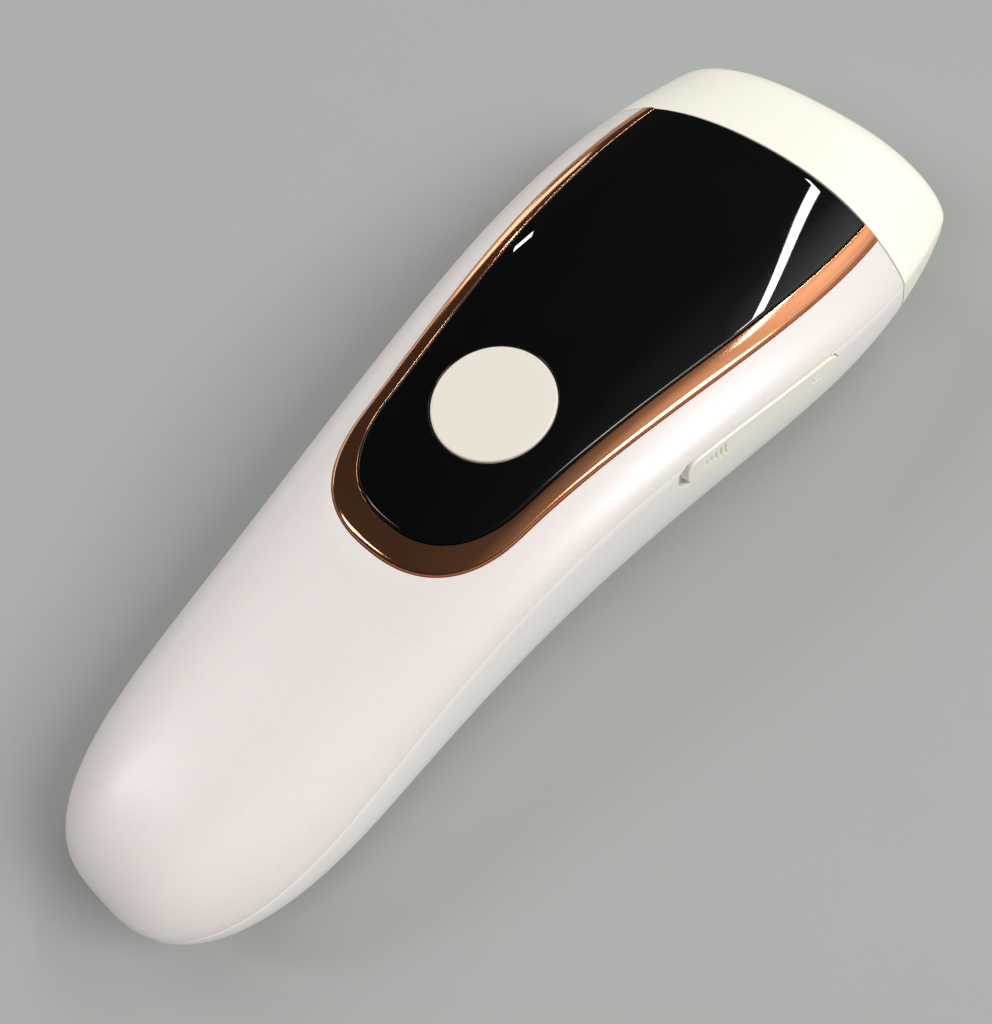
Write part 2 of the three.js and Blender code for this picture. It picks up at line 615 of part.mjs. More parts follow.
// Compression spring behind the slide: a wire swept along a helix, with flat closed end turns.
function lockSpring() {
  const { radius, wire, turns, rear, front } = { radius: 1.3, wire: 0.22, turns: 5, rear: 112.6, front: 120.4 };
  const [x, z] = [halfWidthAt(slideNeck.y, wall) - 4.4, slideMiddle(slideNeck.y)];
  class Helix extends THREE.Curve {
    getPoint(t) {
      const angle = t * turns * Math.PI * 2;
      return new THREE.Vector3(x + radius * Math.cos(angle), rear + (front - rear) * t, z + radius * Math.sin(angle));
    }
  }
  const section = new THREE.Shape().absarc(0, 0, wire, 0, Math.PI * 2);
  return solid(new THREE.ExtrudeGeometry(section, { steps: turns * 10, extrudePath: new Helix(), curveSegments: 2, bevelEnabled: false }));
}

// Shell screw, in its own frame: origin at the middle of its head's lower face.
function shellScrew() {
  const { head, headHeight, shank, length } = screw;
  const profile = [[0, 0], [head, 0], [head, headHeight * 0.5], [head - 0.4, headHeight], [shank, headHeight],
    [shank, headHeight + length - 1], [0.3, headHeight + length], [0, headHeight + length]];
  const body = new THREE.LatheGeometry(profile.map(([r, z]) => new THREE.Vector2(r, z)), 14).rotateX(Math.PI / 2);
  return solid(body).subtract(box(0.8, 3.6, 1.6, 0, 0, 0)).subtract(box(3.6, 0.8, 1.6, 0, 0, 0));
}

// ---------------------------------------------------------------- assembly
const model = new THREE.Group();
model.position.y = -overallLength / 2;

function piece(name, body, material, parent = model) {
  const mesh = new THREE.Mesh(geometryOf(body), material);
  mesh.name = name;
  parent.add(mesh);
  return mesh;
}

piece('top_cover', topCover(), pearlWhite);
piece('bottom_shell', bottomShell(), shellWhite);
piece('lamp_head_shell', lampHeadShell(), cream);
piece('trim_bezel', trimBezel(), roseGold);
piece('display_panel', displayPanel(), pianoBlack);

const buttonPlace = new THREE.Group();
buttonPlace.position.set(0, button.y, buttonTop);
buttonPlace.rotation.x = buttonSlope;
model.add(buttonPlace);
piece('flash_button', flashButton(), cream, buttonPlace);

piece('lamp_lock_slide', lampLockSlide(), cream);
piece('lock_spring', lockSpring(), steel);
piece('head_bulkhead', headBulkhead(), blackPlastic);
piece('lamp_socket', lampSocket(), blackPlastic);

piece('intake_grille', intakeGrille(), blackPlastic);
piece('fan_frame', fanFrame(), blackPlastic);
const rotorPlace = new THREE.Group();
rotorPlace.position.set(0, fan.y, fan.z);
model.add(rotorPlace);
piece('fan_rotor', fanRotor(), blackPlastic, rotorPlace);

piece('window_frame', windowFrame(), shellWhite);
piece('filter_glass', filterGlass(), amberGlass);
piece('lamp_holder', lampHolder(), blackPlastic);
piece('reflector', reflector(), mirror);
piece('flash_lamp', flashLamp(), quartz);
piece('terminal_block', terminalBlock(), blackPlastic);
for (const [side, name] of [[-1, 'left'], [1, 'right']]) {
  piece(`skin_sensor_${name}`, skinSensor(side), steel);
  piece(`lamp_end_cap_${name}`, lampEndCap(side), steel);
  piece(`contact_pin_${name}`, contactPin(side), brass);
}

piece('dc_jack', dcJack(), blackPlastic);
piece('flash_capacitor', flashCapacitor(), sleeveBlue);
piece('power_board', board(powerBoard), boardGreen);
piece('transformer_core', transformerCore(), ferrite);
piece('transformer_winding', transformerWinding(), copperWire);
piece('trigger_coil', triggerCoil(), blackPlastic);
piece('control_board', board(controlBoard), boardGreen);
piece('tact_switch', tactSwitch(), steel);
piece('led_display', ledDisplay(), blackPlastic);

for (const [spot, [x, y]] of Object.entries(screwSpots)) {
  const place = new THREE.Group();
  place.position.set(x, y, screw.headTop - screw.headHeight);
  model.add(place);
  piece(`shell_screw_${spot}`, shellScrew(), steel, place);
}

export default model;
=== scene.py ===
import json
import math

import bmesh
import bpy
import numpy as np
from mathutils import Matrix, Vector


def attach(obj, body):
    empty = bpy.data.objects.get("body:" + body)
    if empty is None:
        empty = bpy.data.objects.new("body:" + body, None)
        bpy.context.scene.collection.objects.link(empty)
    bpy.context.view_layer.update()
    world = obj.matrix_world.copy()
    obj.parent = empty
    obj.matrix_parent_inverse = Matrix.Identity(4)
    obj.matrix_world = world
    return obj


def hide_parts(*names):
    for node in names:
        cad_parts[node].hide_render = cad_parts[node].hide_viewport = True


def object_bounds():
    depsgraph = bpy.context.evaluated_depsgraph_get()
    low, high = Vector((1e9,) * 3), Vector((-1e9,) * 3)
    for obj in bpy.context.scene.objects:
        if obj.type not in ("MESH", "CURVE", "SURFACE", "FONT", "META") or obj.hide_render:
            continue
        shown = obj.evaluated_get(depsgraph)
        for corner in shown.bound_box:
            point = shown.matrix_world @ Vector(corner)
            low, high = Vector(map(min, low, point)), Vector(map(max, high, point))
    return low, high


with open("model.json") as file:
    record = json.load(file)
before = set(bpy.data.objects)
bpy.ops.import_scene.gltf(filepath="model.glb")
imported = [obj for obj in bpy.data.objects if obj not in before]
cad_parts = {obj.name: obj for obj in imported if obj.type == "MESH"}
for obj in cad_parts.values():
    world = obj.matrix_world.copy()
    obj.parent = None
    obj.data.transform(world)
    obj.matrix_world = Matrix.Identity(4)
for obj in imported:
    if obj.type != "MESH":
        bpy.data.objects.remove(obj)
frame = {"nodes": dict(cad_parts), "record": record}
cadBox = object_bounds()
nodes = frame["nodes"]
print("frame loaded,", len(nodes), "nodes")

# Shapes are worked out in millimetres along the handle, y counted from its rear end.
mm = 0.001
rearY = cadBox[0].y / mm

camera = {
    "place": (0.1008, -0.0585, 0.2235),
    "target": (0.0065, -0.0052, 0.0250),
    "roll": -19.83,
    "lens": 47.76,
}


def makeCamera(settings):
    data = bpy.data.cameras.new("camera")
    data.lens = settings["lens"]
    data.sensor_width = 36
    data.clip_start = 0.01
    data.clip_end = 20
    thing = bpy.data.objects.new("camera", data)
    bpy.context.scene.collection.objects.link(thing)
    place = Vector(settings["place"])
    look = (Vector(settings["target"]) - place).to_track_quat("-Z", "Y").to_matrix()
    turn = Matrix.Rotation(math.radians(settings["roll"]), 3, "Z")
    thing.matrix_world = Matrix.Translation(place) @ (look @ turn).to_4x4()
    bpy.context.scene.camera = thing


makeCamera(camera)

studio = {
    "room": [(0.20, (0.050, 0.050, 0.051)), (0.62, (0.085, 0.084, 0.083)), (0.84, (0.26, 0.255, 0.25)),
             (1.0, (0.95, 0.93, 0.90))],
    "brightSide": (0.60, 0.46, 0.62),
    "floorSize": 8.0,
    "softboxes": {   # name: (place, aim, width, height, watts, seen in gloss)
        "key": ((1.92, 0.78, 1.80), (0.0, 0.03, 0.03), 1.20, 1.20, 52.0, True),
        "front_corner": ((0.32, 1.30, 1.12), (0.0, 0.06, 0.03), 1.10, 1.00, 0.10, True),
        "rear_fill": ((0.24, -1.10, 1.50), (0.0, -0.02, 0.03), 1.00, 0.60, 7.0, False),
        "left_fill": ((-1.25, 0.10, 1.20), (0.0, 0.0, 0.03), 0.90, 0.90, 5.6, False),
        "left_rear": ((-1.05, -0.86, 1.26), (0.0, -0.05, 0.03), 0.30, 0.70, 5.2, True),
        "left_low": ((-2.00, 0.30, 0.30), (0.0, 0.0, 0.03), 2.00, 0.30, 3.8, True),
        "left_spot": ((-1.58, 0.93, 0.97), (0.0, 0.03, 0.03), 0.10, 0.06, 0.5, True),
        "tube": ((-0.10, 1.25, 1.30), (-0.10, 1.25, 0.0), 0.055, 1.15, 6.0, True),
    },
    "tubeTurn": 52.9,      # degrees from the Y axis
    "spread": {"front_corner": 36},      # degrees, which fades that light's edges
}


def makeSoftbox(name, place, aim, width, height, watts, seenInGloss):
    data = bpy.data.lights.new(name, "AREA")
    data.shape = "RECTANGLE"
    data.size = width
    data.size_y = height
    data.energy = watts
    thing = bpy.data.objects.new(name, data)
    bpy.context.scene.collection.objects.link(thing)
    place = Vector(place)
    look = (Vector(aim) - place).to_track_quat("-Z", "Y").to_matrix().to_4x4()
    thing.matrix_world = Matrix.Translation(place) @ look
    thing.visible_glossy = seenInGloss


for name, light in studio["softboxes"].items():
    makeSoftbox(name, *light)
for name, angle in studio["spread"].items():
    bpy.data.lights[name].spread = math.radians(angle)
# The tube hangs flat overhead, so it is turned by the given angle.
tube = bpy.data.objects["tube"]
tube.matrix_world = Matrix.Translation(tube.matrix_world.translation) @ Matrix.Rotation(
    math.radians(studio["tubeTurn"]), 4, "Z")
bpy.context.scene.view_settings.view_transform = "Standard"


# The room is dim on the left and brighter on the right.
def makeRoom(settings):
    world = bpy.data.worlds.new("studio")
    world.use_nodes = True
    tree = world.node_tree
    place = tree.nodes.new("ShaderNodeTexCoord")
    dot = tree.nodes.new("ShaderNodeVectorMath")
    dot.operation = "DOT_PRODUCT"
    dot.inputs[1].default_value = Vector(settings["brightSide"]).normalized()
    ramp = tree.nodes.new("ShaderNodeValToRGB")
    for _ in settings["room"][2:]:
        ramp.color_ramp.elements.new(0.5)
    for stop, (share, colour) in zip(ramp.color_ramp.elements, settings["room"]):
        stop.position = share
        stop.color = (*colour, 1)
    tree.links.new(place.outputs["Generated"], dot.inputs[0])
    tree.links.new(dot.outputs["Value"], ramp.inputs[0])
    tree.links.new(ramp.outputs[0], tree.nodes["Background"].inputs["Color"])
    bpy.context.scene.world = world


makeRoom(studio)
print("camera and studio ready")


# A socket with the arithmetic operators: each one adds a Math node to the tree.
class Wire:
    def __init__(self, looks, socket):
        self.looks = looks
        self.socket = socket

    def join(self, operation, *values):
        return self.looks.add("ShaderNodeMath", {"operation": operation}, dict(enumerate(values)))

    def __add__(self, other):
        return self.join("ADD", self, other)

    def __mul__(self, other):
        return self.join("MULTIPLY", self, other)

    __radd__ = __add__
    __rmul__ = __mul__


# One material: a Principled shader and the nodes that vary it over the surface.
class Looks:
    def __init__(self, name, **fixed):
        self.material = bpy.data.materials.new(name)
        self.material.use_nodes = True
        self.tree = self.material.node_tree
        self.shader = self.tree.nodes["Principled BSDF"]
        for key, value in fixed.items():
            self.shader.inputs[key.replace("_", " ")].default_value = value

    # A node of a type, with its settings and the values or links of its sockets.
    def add(self, kind, settings=None, sockets=None, output=0):
        node = self.tree.nodes.new(kind)
        for key, value in (settings or {}).items():
            setattr(node, key, value)
        for key, value in (sockets or {}).items():
            self.feed(node.inputs[key], value)
        return Wire(self, node.outputs[output])

    def feed(self, socket, value):
        if isinstance(value, Wire):
            self.tree.links.new(value.socket, socket)
        else:
            socket.default_value = value

    def place(self):
        return self.add("ShaderNodeTexCoord", output=3)

    def noise(self, scale, detail=3.0, roughness=0.5):
        return self.add("ShaderNodeTexNoise", {}, {"Vector": self.place(), "Scale": scale, "Detail": detail,
                                                   "Roughness": roughness})

    def mix(self, factor, first, second):
        return self.add("ShaderNodeMix", {"data_type": "RGBA"}, {0: factor, 6: first, 7: second}, output=2)

    def bump(self, height, strength, distance):
        return self.add("ShaderNodeBump", {}, {"Height": height, "Strength": strength, "Distance": distance})

    def set(self, socket, value):
        self.feed(self.shader.inputs[socket], value)
        return self


def rgba(r, g, b):
    return (r, g, b, 1.0)


# A moulded plastic: faint cloudy shade, a fine grain on the surface, roughness that wanders a little.
def moulded(name, light, dark, roughness, grain, grainDepth, wander=0.05, **fixed):
    looks = Looks(name, **fixed)
    cloud = looks.noise(38.0, 4.0)
    looks.set("Base Color", looks.mix(cloud, rgba(*dark), rgba(*light)))
    looks.set("Roughness", looks.noise(160.0, 3.0) * wander + (roughness - wander / 2))
    if grainDepth:
        looks.set("Normal", looks.bump(looks.noise(grain, 2.0), 0.35, grainDepth))
    return looks.material


def pearlPaint():
    looks = Looks("pearl_white", Coat_Roughness=0.22, Coat_Weight=0.25)
    flakes = looks.add("ShaderNodeTexVoronoi", {"feature": "F1"}, {"Vector": looks.place(), "Scale": 2600.0},
                       output=1)
    glint = looks.add("ShaderNodeSeparateColor", {}, {"Color": flakes})
    tone = looks.noise(30.0, 3.0) * 0.6 + glint * 0.4
    looks.set("Base Color", looks.mix(tone, rgba(0.715, 0.662, 0.635), rgba(0.765, 0.712, 0.684)))
    looks.set("Roughness", glint * 0.12 + 0.33)
    looks.set("Normal", looks.bump(glint, 0.05, 0.00002))
    return looks.material


def roseGold():
    looks = Looks("rose_gold", Metallic=1.0)
    haze = looks.noise(55.0, 4.0)
    looks.set("Base Color", looks.mix(haze, rgba(0.82, 0.33, 0.16), rgba(0.88, 0.39, 0.20)))
    looks.set("Roughness", haze * 0.04 + 0.07)
    return looks.material


def pianoBlack():
    looks = Looks("piano_black", Specular_IOR_Level=0.5)
    haze = looks.noise(70.0, 5.0, 0.6)
    looks.set("Base Color", looks.mix(haze, rgba(0.0006, 0.0006, 0.0007), rgba(0.0014, 0.0014, 0.0016)))
    looks.set("Roughness", haze * 0.02 + 0.008)
    return looks.material


def metal(name, light, dark, roughness, streak=400.0):
    looks = Looks(name, Metallic=1.0)
    marks = looks.noise(streak, 3.0, 0.6)
    looks.set("Base Color", looks.mix(marks, rgba(*dark), rgba(*light)))
    looks.set("Roughness", marks * 0.12 + roughness)
    return looks.material


def glassy(name, colour, roughness):
    looks = Looks(name, IOR=1.46, Transmission_Weight=0.9)
    haze = looks.noise(90.0, 3.0)
    looks.set("Base Color", looks.mix(haze, rgba(*[c * 0.9 for c in colour]), rgba(*colour)))
    looks.set("Roughness", haze * 0.04 + roughness)
    return looks.material


# Green solder mask with the copper tracks showing as a paler, slightly raised maze.
def circuitBoard():
    looks = Looks("circuit_board", Coat_Weight=0.4)
    spot = looks.add("ShaderNodeTexBrick", {}, {"Vector": looks.place(), "Scale": 420.0, "Mortar Size": 0.03})
    tracks = looks.add("ShaderNodeSeparateColor", {}, {"Color": spot})
    looks.set("Base Color", looks.mix(tracks, rgba(0.01, 0.11, 0.05), rgba(0.02, 0.17, 0.08)))
    looks.set("Roughness", looks.noise(300.0) * 0.1 + 0.35)
    looks.set("Normal", looks.bump(tracks, 0.3, 0.00003))
    return looks.material


finishes = {
    "pearl_white": pearlPaint(),
    "shell_white": moulded("shell_white", (0.88, 0.86, 0.82), (0.84, 0.82, 0.785), 0.38, 2400.0, 0.000012),
    "cream": moulded("cream", (0.90, 0.875, 0.765), (0.87, 0.845, 0.735), 0.36, 2600.0, 0.000012),
    "button_cream": moulded("button_cream", (0.75, 0.715, 0.615), (0.725, 0.69, 0.595), 0.5, 3200.0, 0.00002),
    "rose_gold": roseGold(),
    "piano_black": pianoBlack(),
    "black_plastic": moulded("black_plastic", (0.022, 0.022, 0.024), (0.012, 0.012, 0.013), 0.45, 2600.0,
                             0.00002),
    "steel": metal("steel", (0.68, 0.69, 0.71), (0.52, 0.53, 0.55), 0.20),
    "brass": metal("brass", (0.80, 0.62, 0.30), (0.66, 0.49, 0.22), 0.22),
    "copper_wire": metal("copper_wire", (0.72, 0.34, 0.16), (0.50, 0.22, 0.10), 0.32, 900.0),
    "ferrite": moulded("ferrite", (0.060, 0.060, 0.064), (0.035, 0.035, 0.038), 0.7, 1500.0, 0.00004),
    "circuit_board": circuitBoard(),
    "capacitor_sleeve": moulded("capacitor_sleeve", (0.020, 0.035, 0.085), (0.014, 0.026, 0.065), 0.3, 500.0,
                                0.00001),
    "quartz": glassy("quartz", (0.96, 0.98, 1.0), 0.03),
    "amber_glass": glassy("amber_glass", (0.95, 0.45, 0.10), 0.02),
    "mirror": metal("mirror", (0.90, 0.90, 0.92), (0.82, 0.82, 0.84), 0.03, 200.0),
}
print("finishes made,", len(finishes))


# A grid of points (rows, columns, 3) in handle millimetres as a quad mesh; either way may wrap round.
def surface(name, points, wrapRows=False, wrapColumns=False):
    rows, columns = points.shape[:2]
    flat = points.reshape(-1, 3).astype(float) * mm
    flat[:, 1] += rearY * mm
    i = np.arange(rows if wrapRows else rows - 1)[:, None]
    j = np.arange(columns if wrapColumns else columns - 1)[None, :]
    a, b = i * columns + j, i * columns + (j + 1) % columns
    c, d = ((i + 1) % rows) * columns + (j + 1) % columns, ((i + 1) % rows) * columns + j
    quads = np.stack([a, b, c, d], -1).reshape(-1, 4)
    mesh = bpy.data.meshes.new(name)
    mesh.vertices.add(len(flat))
    mesh.vertices.foreach_set("co", flat.ravel())
    mesh.loops.add(quads.size)
    mesh.loops.foreach_set("vertex_index", quads.ravel().astype(np.int32))
    mesh.polygons.add(len(quads))
    mesh.polygons.foreach_set("loop_start", np.arange(0, quads.size, 4, dtype=np.int32))
    mesh.update(calc_edges=True)
    thing = bpy.data.objects.new(name, mesh)
    bpy.context.scene.collection.objects.link(thing)
    tidyMesh(thing)
    return thing


# Coincident points merged and faces turned outwards.
def tidyMesh(thing, distance=1e-6):
    edit = bmesh.new()
    edit.from_mesh(thing.data)
    bmesh.ops.remove_doubles(edit, verts=edit.verts, dist=distance)
    bmesh.ops.dissolve_degenerate(edit, edges=edit.edges, dist=distance * 0.5)
    bmesh.ops.recalc_face_normals(edit, faces=edit.faces)
    edit.to_mesh(thing.data)
    edit.free()


# Every modifier worked into the mesh.
def settle(thing):
    bpy.context.view_layer.update()
    graph = bpy.context.evaluated_depsgraph_get()
    done = bpy.data.meshes.new_from_object(thing.evaluated_get(graph))
    thing.modifiers.clear()
    old = thing.data
    thing.data = done
    bpy.data.meshes.remove(old)


def thicken(thing, depth, outwards):
    solidify = thing.modifiers.new("wall", "SOLIDIFY")
    solidify.thickness = depth * mm
    solidify.offset = 1 if outwards else -1
    solidify.use_even_offset = False
    settle(thing)
    tidyMesh(thing)


def roundEdges(thing, width, angle=50):
    bevel = thing.modifiers.new("edge", "BEVEL")
    bevel.width = width * mm
    bevel.segments = 2
    bevel.limit_method = "ANGLE"
    bevel.angle_limit = math.radians(angle)
    settle(thing)


def cut(thing, *cutters):
    for cutter in cutters:
        boolean = thing.modifiers.new("cut", "BOOLEAN")
        boolean.operation = "DIFFERENCE"
        boolean.solver = "MANIFOLD"
        boolean.object = cutter
        settle(thing)
    for cutter in cutters:
        bpy.data.objects.remove(cutter)


# The last step of every new piece: shading, finish, body, and the CAD node that it stands for.
def place(thing, body, finish, replaced=(), sharp=35, slot=None):
    thing.data.polygons.foreach_set("use_smooth", np.ones(len(thing.data.polygons), bool))
    thing.data.set_sharp_from_angle(angle=math.radians(sharp))
    thing.data.materials.clear()
    thing.data.materials.append(finishes[finish])
    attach(thing, body)
    if replaced:
        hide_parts(*replaced)
    return thing


body = {
    "length": 186.7,
    "halfWidths": [22.7, 23.8, 24.3, 26.5, 30.7, 33.3, 27.0],
    "seamHeights": [17.3, 20.6, 27.7, 32.3, 31.6, 27.0, 23.3],
    "crownHeights": [14.8, 8.1, 7.0, 8.8, 9.4],
    "rear": (48.0, 3.06),          # length and power of the plan rounding
    "front": (7.6, 2.42),
    "crownPowers": (3.0, 1.43),
    "bellyPower": 2.86,
    "bellyDepth": 0.8,
    "noseLift": (142.4, 11.7),
    "tailLift": (40.6, 5.3),
    "halfGap": 0.15,
    "wall": 2.0,
}
headSeam = {"side": 161.2, "bulge": 6.1, "lean": -0.17, "width": 33.3, "height": 38.0}
furthest = 172      # the panel and trim are never worked out beyond this station


# The one smooth curve through evenly spaced stations along the handle.
def through(stations, y, first=0.0, last=body["length"]):
    places = np.linspace(0, 1, len(stations))
    share = (np.asarray(y, float) - first) / (last - first)
    return np.polyval(np.polyfit(places, stations, len(stations) - 1), share)


def seamAt(y):
    return through(body["seamHeights"], y)


def halfAt(y):
    return through(body["halfWidths"], y)


# The underside: flat, with a parabola up to the nose and another up to the tail.
def floorAt(y):
    start, rise = body["noseLift"]
    nose = np.clip((y - start) / (body["length"] - start), 0, None)
    tail = np.clip((body["tailLift"][0] - y) / body["tailLift"][0], 0, None)
    return rise * nose ** 2 + body["tailLift"][1] * tail ** 2 - body["bellyDepth"]


def endShares(y):
    rear = np.clip((body["rear"][0] - y) / body["rear"][0], 0, 1)
    front = np.clip((y - body["length"] + body["front"][0]) / body["front"][0], 0, 1)
    return rear, front, np.where(front > 0, body["front"][1], body["rear"][1])


# 0 on the spine and 1 on the plan outline: (|x/half|^p + rear^p + front^p)^(1/p).
def planRadius(x, y):
    rear, front, power = endShares(y)
    across = np.abs(x) / halfAt(y)
    return np.clip((across ** power + rear ** power + front ** power) ** (1 / power), 0, 1)


# Height of the upper surface: seam + crown (1 - r^3)^(1/1.43), with r the plan radius.
def topAt(x, y):
    inner, outer = body["crownPowers"]
    rise = through(body["crownHeights"], y) * (1 - planRadius(x, y) ** inner) ** (1 / outer)
    return seamAt(y) + rise + body["halfGap"]


# Height of the lower surface: a superellipse down from the seam, eased flat on the rest plane.
def bottomAt(x, y, eased=True):
    power = body["bellyPower"]
    depth = (seamAt(y) - floorAt(y)) * (1 - planRadius(x, y) ** power) ** (1 / power)
    z = seamAt(y) - depth - body["halfGap"]
    ease = 0.12
    return (z + np.sqrt(z * z + ease ** 2)) / 2 if eased else z


def outlineAt(y):
    rear, front, power = endShares(y)
    return halfAt(y) * np.clip(1 - rear ** power - front ** power, 0, 1) ** (1 / power)


# Where the side wall stands, at a station and a height under the seam.
def sideAt(y, z):
    power = body["bellyPower"]
    share = np.clip((seamAt(y) - z) / (seamAt(y) - floorAt(y)), 0, 1)
    return halfAt(y) * (1 - share ** power) ** (1 / power)


# The joint between handle and head: a plan parabola that leans with height.
def headSeamAt(x, z):
    bulge = headSeam["bulge"] * (1 - (x / headSeam["width"]) ** 2)
    return headSeam["side"] + bulge + headSeam["lean"] * (z - headSeam["height"])


# A plan outline that starts as a superellipse and runs on along the handle.
def outlineHalf(outline, y, grow=0.0):
    along = np.clip(y, outline["rear"], furthest)
    full = through(outline["halfWidths"], along, outline["rear"], headSeam["side"]) + grow
    end = np.clip((outline["round"] + outline["rear"] - y) / (outline["round"] + grow), 0, 1)
    return full * (1 - end ** outline["power"]) ** (1 / outline["power"])


trimOutline = {"rear": 67.3, "round": 17.4, "power": 2.39, "halfWidths": [17.4, 20.0, 24.9, 26.3]}
panelOutline = {"rear": 72.2, "round": 16.4, "power": 2.34, "halfWidths": [15.0, 17.5, 21.8, 23.3]}
panelRise = 0.8


# Half of a plan outline, from its rear middle to the head seam, as n + m points (x, y).
def outlineHalfPath(outline, grow, n, m, seamShift, lift=0.0, ease=1.6):
    turn = np.linspace(0, 1, n, endpoint=False) ** ease * math.pi / 2
    join = outline["rear"] + outline["round"]
    roundY = join - (outline["round"] + grow) * np.cos(turn) ** (2 / outline["power"])
    end = headSeam["side"]
    for _ in range(6):
        x = outlineHalf(outline, end, grow)
        end = headSeamAt(x, topAt(x, end) + lift) + seamShift
    y = np.concatenate([roundY, join + (end - join) * np.linspace(0, 1, m)])
    return np.stack([outlineHalf(outline, y, grow), y], -1)


shells = {"roundSteps": 70, "armSteps": 120, "coverColumns": 34, "bellyColumns": 64, "edge": 0.16}


# Both halves of a plan path joined: left side from the head seam back, then the right side forward.
def bothSides(half):
    mirrored = half[:0:-1] * np.array([-1.0, 1.0])
    return np.concatenate([mirrored, half])


# The cover is ruled in plan between the body's outline and the recess for the trim; its height is topAt.
def makeTopCover():
    n, m, columns = shells["roundSteps"], shells["armSteps"], shells["coverColumns"]
    inner = bothSides(outlineHalfPath(trimOutline, body["halfGap"], n, m, -body["halfGap"]))
    join = trimOutline["rear"] + trimOutline["round"]
    length, power = body["rear"]
    quarter = np.linspace(0, 1, n // 2, endpoint=False) * math.pi / 2
    rearEdge = length - length * np.cos(quarter) ** (2 / power)
    rest = length + (join - length) * np.linspace(0, 1, n - len(quarter), endpoint=False)
    backY = np.concatenate([rearEdge, rest])
    frontShare = np.linspace(0, 1, m)
    t = (np.linspace(0, 1, columns) ** 2.0)[None, :]
    end = np.full((1, columns), headSeam["side"])
    innerHalf = inner[len(inner) // 2:]
    for _ in range(8):
        x = outlineAt(end) * (1 - t) + innerHalf[-1, 0] * t
        end = headSeamAt(x, topAt(x, end)) - body["halfGap"]
    armY = join + (end - join) * frontShare[:, None]
    outerY = np.concatenate([np.repeat(backY[:, None], columns, 1), armY])
    outerX = outlineAt(outerY)
    innerY = np.concatenate([np.repeat(innerHalf[:n, 1:2], columns, 1), armY])
    innerX = np.concatenate([np.repeat(innerHalf[:n, :1], columns, 1),
                             outlineHalf(trimOutline, armY, body["halfGap"])])
    x = outerX * (1 - t) + innerX * t
    y = outerY * (1 - t) + innerY * t
    half = np.stack([x, y, topAt(x, y)], -1)
    left = half[:0:-1] * np.array([-1.0, 1.0, 1.0])
    cover = surface("cover_skin", np.concatenate([left, half]))
    thicken(cover, body["wall"], facesInwards(cover))
    roundEdges(cover, shells["edge"])
    return place(cover, "handle", "pearl_white", ["top_cover"])


# Whether an open skin's faces look towards the middle of the handle: the mean of offset . normal.
def facesInwards(thing):
    count = len(thing.data.polygons)
    centres, normals = np.empty(count * 3), np.empty(count * 3)
    thing.data.polygons.foreach_get("center", centres)
    thing.data.polygons.foreach_get("normal", normals)
    middle = np.array([0, 0, (cadBox[0].z + cadBox[1].z) / 2])
    return float(((centres.reshape(-1, 3) - middle) * normals.reshape(-1, 3)).sum()) < 0


# The lower shell runs from the seam (r = 1) to the spine (r = 0); its height is bottomAt.
def makeBottomShell():
    n, m, columns = shells["roundSteps"], shells["armSteps"], shells["bellyColumns"]
    turn = np.linspace(0, 1, n, endpoint=False)[:, None] * math.pi / 2
    r = np.sin(np.linspace(math.pi / 2, 0, columns))[None, :] ** (2 / body["bellyPower"])
    length, power = body["rear"]
    backY = length - length * r * np.cos(turn) ** (2 / power)
    backX = halfAt(backY) * r * np.sin(turn) ** (2 / power)
    end = np.full((1, columns), headSeam["side"])
    for _ in range(8):
        x = halfAt(end) * r
        end = headSeamAt(x, bottomAt(x, end)) - body["halfGap"]
    armY = length + (end - length) * np.linspace(0, 1, m)[:, None]
    armX = halfAt(armY) * r
    x, y = np.concatenate([backX, armX]), np.concatenate([backY, armY])
    half = np.stack([x, y, bottomAt(x, y)], -1)
    left = half[:0:-1] * np.array([-1.0, 1.0, 1.0])
    shell = surface("lower_shell_skin", np.concatenate([left, half]))
    thicken(shell, body["wall"], facesInwards(shell))
    roundEdges(shell, shells["edge"])
    return shell


head = {
    "across": 180,
    "along": 60,
    "noseRows": 40,
    "mouth": (36.6, 13.1, 4.8, 20.5),      # width, height, corner radius and height above the rest face
    "mouthFrom": (176, 192),
    "tube": (40.0, 14.0, 2.0, 18.5),       # the plug at the rear, the same way
    "tubeStations": [(153, 0.4), (153.15, 0.12), (153.4, 0), (173, 0)],    # (station, inset)
    "boreFrom": (150, 179),
    "tubeWall": 1.8,
    "webRings": 24,
    "webInset": 0.8,
    "webDepth": 1.6,
    "webSunk": 0.4,
}


# The head's rear wall: the seam surface filled from its middle out to the shell, then given a thickness.
def makeHeadWeb(rim):
    share = np.linspace(0, 1, head["webRings"])[:, None]
    inset = 1 - head["webInset"] / np.hypot(rim[0], rim[1] - head["tube"][3])
    x = share * inset * rim[0]
    z = head["tube"][3] + share * inset * (rim[1] - head["tube"][3])
    y = headSeamAt(x, z) + body["halfGap"] + head["webSunk"]
    rear = np.stack([x, y, z], -1)
    front = np.stack([x, y + head["webDepth"], z], -1)[::-1]
    return surface("head_web", np.concatenate([rear, front]), wrapColumns=True)


